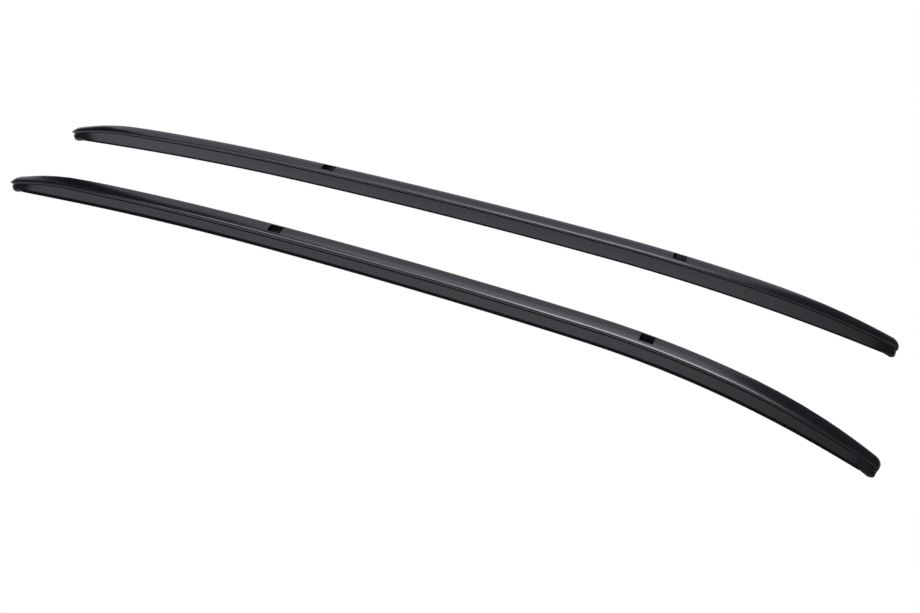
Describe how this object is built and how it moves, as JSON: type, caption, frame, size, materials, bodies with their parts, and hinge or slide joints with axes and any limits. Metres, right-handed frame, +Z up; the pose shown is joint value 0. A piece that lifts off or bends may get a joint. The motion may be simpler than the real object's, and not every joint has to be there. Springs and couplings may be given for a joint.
{
  "type": "roof side rail pair",
  "caption": "Pair of low arched roof side rails, left and right, with tapered noses, crossbar slots in the top, rubber base strips and end feet.",
  "frame": {"origin": "middle of the pair's bounding box at the ground", "axes": "+X towards the front ends of both rails, +Y towards the left rail, +Z up"},
  "size_m": [1.7622, 0.4414, 0.1085],
  "materials": {
    "bar_paint": "satin black powder coat",
    "rubber": "matte",
    "foot_plastic": "matte",
    "clip_plastic": "matte",
    "plated_steel": "zinc plated, dull",
    "screw_steel": "blackened"
  },
  "bodies": {
    "root": {"left_bar_rear_end": "bar_paint", "left_bar_rear_clip": "bar_paint", "left_bar_rear_slot": "bar_paint", "left_bar_rear_middle": "bar_paint", "left_bar_front_clip": "bar_paint", "left_bar_front_middle": "bar_paint", "left_bar_front_slot": "bar_paint", "left_bar_front_end": "bar_paint", "left_rear_seal_tip": "rubber", "left_rear_seal_bracket": "rubber", "left_rear_seal_link": "rubber", "left_rear_seal_clip": "rubber", "left_front_seal_rear": "rubber", "left_front_seal_clip": "rubber", "left_front_seal_middle": "rubber", "left_front_seal_bracket": "rubber", "left_front_seal_tip": "rubber", "left_rear_foot": "foot_plastic", "left_front_foot": "foot_plastic", "left_rear_anchor": "plated_steel", "left_front_anchor": "plated_steel", "left_rear_bracket": "plated_steel", "left_front_bracket": "plated_steel", "left_rear_nut": "plated_steel", "left_front_nut": "plated_steel", "left_rear_clip_seat": "clip_plastic", "left_front_clip_seat": "clip_plastic", "left_bracket_screws": "screw_steel", "left_foot_screws": "screw_steel", "right_bar_rear_end": "bar_paint", "right_bar_rear_clip": "bar_paint", "right_bar_rear_slot": "bar_paint", "right_bar_rear_middle": "bar_paint", "right_bar_front_clip": "bar_paint", "right_bar_front_middle": "bar_paint", "right_bar_front_slot": "bar_paint", "right_bar_front_end": "bar_paint", "right_rear_seal_tip": "rubber", "right_rear_seal_bracket": "rubber", "right_rear_seal_link": "rubber", "right_rear_seal_clip": "rubber", "right_front_seal_rear": "rubber", "right_front_seal_clip": "rubber", "right_front_seal_middle": "rubber", "right_front_seal_bracket": "rubber", "right_front_seal_tip": "rubber", "right_rear_foot": "foot_plastic", "right_front_foot": "foot_plastic", "right_rear_anchor": "plated_steel", "right_front_anchor": "plated_steel", "right_rear_bracket": "plated_steel", "right_front_bracket": "plated_steel", "right_rear_nut": "plated_steel", "right_front_nut": "plated_steel", "right_rear_clip_seat": "clip_plastic", "right_front_clip_seat": "clip_plastic", "right_bracket_screws": "screw_steel", "right_foot_screws": "screw_steel"}
  },
  "joints": []
}
